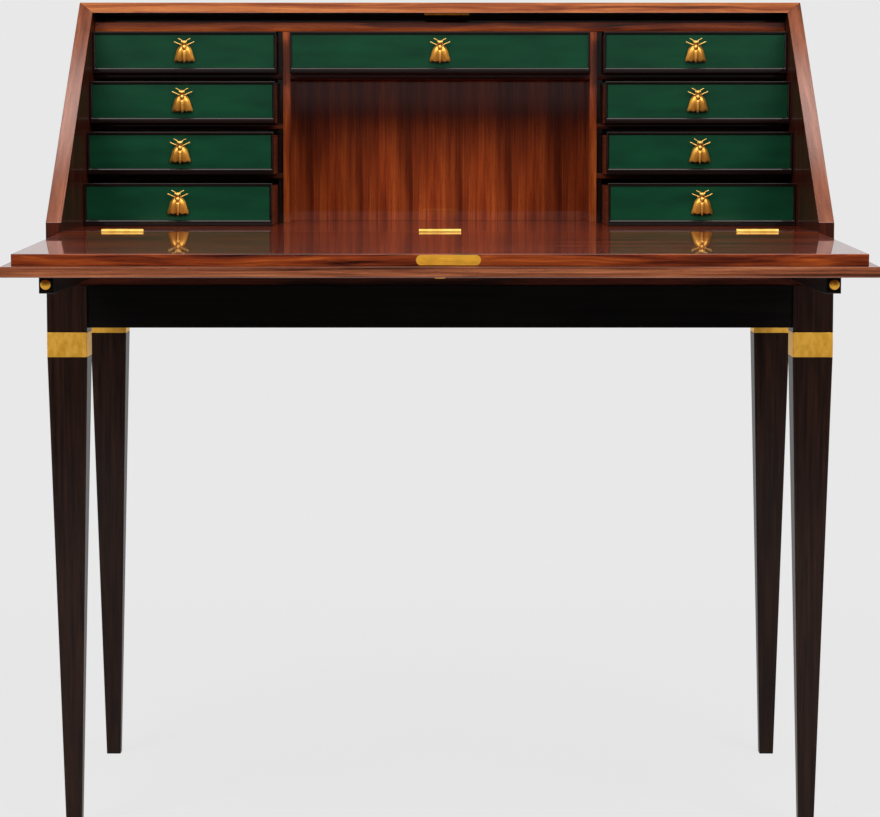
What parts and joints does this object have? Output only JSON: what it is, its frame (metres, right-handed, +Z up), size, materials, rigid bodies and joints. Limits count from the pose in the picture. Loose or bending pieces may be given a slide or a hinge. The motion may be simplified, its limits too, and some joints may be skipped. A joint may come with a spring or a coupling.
{
  "type": "slant-front writing desk",
  "caption": "Slant-front writing desk on tapered legs, with a fold-down front on pull-out supports, a gallery of small drawers and an open centre compartment.",
  "frame": {"origin": "on the floor, below the middle of the bounding box of the open desk", "axes": "+Z up, -Y towards the user and the open fall, +X to the user's right"},
  "size_m": [0.95, 0.9396, 1.025],
  "materials": {
    "rosewood": "french-polished rosewood veneer",
    "rosewood_edge": "polished rosewood edge",
    "dark_mahogany": "dark polished mahogany",
    "secondary_wood": "stained secondary wood",
    "black_lacquer": "brown-black polished lacquer on wood",
    "green_lacquer": "dark green gloss lacquer panel",
    "brass": "polished brass",
    "gilt_brass": "cast and gilt brass"
  },
  "bodies": {
    "root": {"leg_front_left": "black_lacquer", "leg_front_right": "black_lacquer", "leg_rear_left": "black_lacquer", "leg_rear_right": "black_lacquer", "leg_collars": "brass", "aprons_front_rear": "black_lacquer", "aprons_side": "black_lacquer", "side_right": "rosewood", "side_left": "rosewood", "top_board": "rosewood", "strike_plate": "brass", "desk_floor": "rosewood", "front_rail": "rosewood", "case_bottom": "secondary_wood", "back_panel": "secondary_wood", "gallery_top": "rosewood", "gallery_dividers": "rosewood", "gallery_shelves": "rosewood", "drawer_guides": "secondary_wood", "centre_back_panel": "rosewood", "loper_channels": "secondary_wood", "hinge_case_leaves": "brass", "hinge_pins": "brass"},
    "fall": {"fall_board": "rosewood", "fall_lip": "rosewood_edge", "fall_lock": "brass", "key_escutcheon": "brass", "hinge_fall_leaves": "brass"},
    "lock_bolt": {"lock_bolt": "brass"},
    "loper_left": {"loper_left": "black_lacquer", "loper_knob_left": "brass"},
    "loper_right": {"loper_right": "black_lacquer", "loper_knob_right": "brass"},
    "drawer_left_1": {"drawer_left_1_box": "dark_mahogany", "drawer_left_1_panel": "green_lacquer", "drawer_left_1_bee": "gilt_brass"},
    "drawer_left_2": {"drawer_left_2_box": "dark_mahogany", "drawer_left_2_panel": "green_lacquer", "drawer_left_2_bee": "gilt_brass"},
    "drawer_left_3": {"drawer_left_3_box": "dark_mahogany", "drawer_left_3_panel": "green_lacquer", "drawer_left_3_bee": "gilt_brass"},
    "drawer_left_4": {"drawer_left_4_box": "dark_mahogany", "drawer_left_4_panel": "green_lacquer", "drawer_left_4_bee": "gilt_brass"},
    "drawer_right_1": {"drawer_right_1_box": "dark_mahogany", "drawer_right_1_panel": "green_lacquer", "drawer_right_1_bee": "gilt_brass"},
    "drawer_right_2": {"drawer_right_2_box": "dark_mahogany", "drawer_right_2_panel": "green_lacquer", "drawer_right_2_bee": "gilt_brass"},
    "drawer_right_3": {"drawer_right_3_box": "dark_mahogany", "drawer_right_3_panel": "green_lacquer", "drawer_right_3_bee": "gilt_brass"},
    "drawer_right_4": {"drawer_right_4_box": "dark_mahogany", "drawer_right_4_panel": "green_lacquer", "drawer_right_4_bee": "gilt_brass"},
    "drawer_centre": {"drawer_centre_box": "dark_mahogany", "drawer_centre_panel": "green_lacquer", "drawer_centre_bee": "gilt_brass"}
  },
  "joints": [
    {"name": "fall_hinge", "type": "hinge", "parent": "root", "child": "fall", "pos_m": [0, -0.0198, 0.735], "axis": [1, 0, 0], "range_deg": [-144, 0]},
    {"name": "bolt_slide", "type": "slide", "parent": "fall", "child": "lock_bolt", "axis": [0, -0.9998, -0.0218], "range_m": [0, 0.007]},
    {"name": "loper_left_slide", "type": "slide", "parent": "root", "child": "loper_left", "axis": [0, -1, 0], "range_m": [-0.4068, 0]},
    {"name": "loper_right_slide", "type": "slide", "parent": "root", "child": "loper_right", "axis": [0, -1, 0], "range_m": [-0.4068, 0]},
    {"name": "drawer_left_1_slide", "type": "slide", "parent": "root", "child": "drawer_left_1", "axis": [0, -1, 0], "range_m": [0, 0.085]},
    {"name": "drawer_left_2_slide", "type": "slide", "parent": "root", "child": "drawer_left_2", "axis": [0, -1, 0], "range_m": [0, 0.085]},
    {"name": "drawer_left_3_slide", "type": "slide", "parent": "root", "child": "drawer_left_3", "axis": [0, -1, 0], "range_m": [0, 0.085]},
    {"name": "drawer_left_4_slide", "type": "slide", "parent": "root", "child": "drawer_left_4", "axis": [0, -1, 0], "range_m": [0, 0.085]},
    {"name": "drawer_right_1_slide", "type": "slide", "parent": "root", "child": "drawer_right_1", "axis": [0, -1, 0], "range_m": [0, 0.085]},
    {"name": "drawer_right_2_slide", "type": "slide", "parent": "root", "child": "drawer_right_2", "axis": [0, -1, 0], "range_m": [0, 0.085]},
    {"name": "drawer_right_3_slide", "type": "slide", "parent": "root", "child": "drawer_right_3", "axis": [0, -1, 0], "range_m": [0, 0.085]},
    {"name": "drawer_right_4_slide", "type": "slide", "parent": "root", "child": "drawer_right_4", "axis": [0, -1, 0], "range_m": [0, 0.085]},
    {"name": "drawer_centre_slide", "type": "slide", "parent": "root", "child": "drawer_centre", "axis": [0, -1, 0], "range_m": [0, 0.085]}
  ]
}
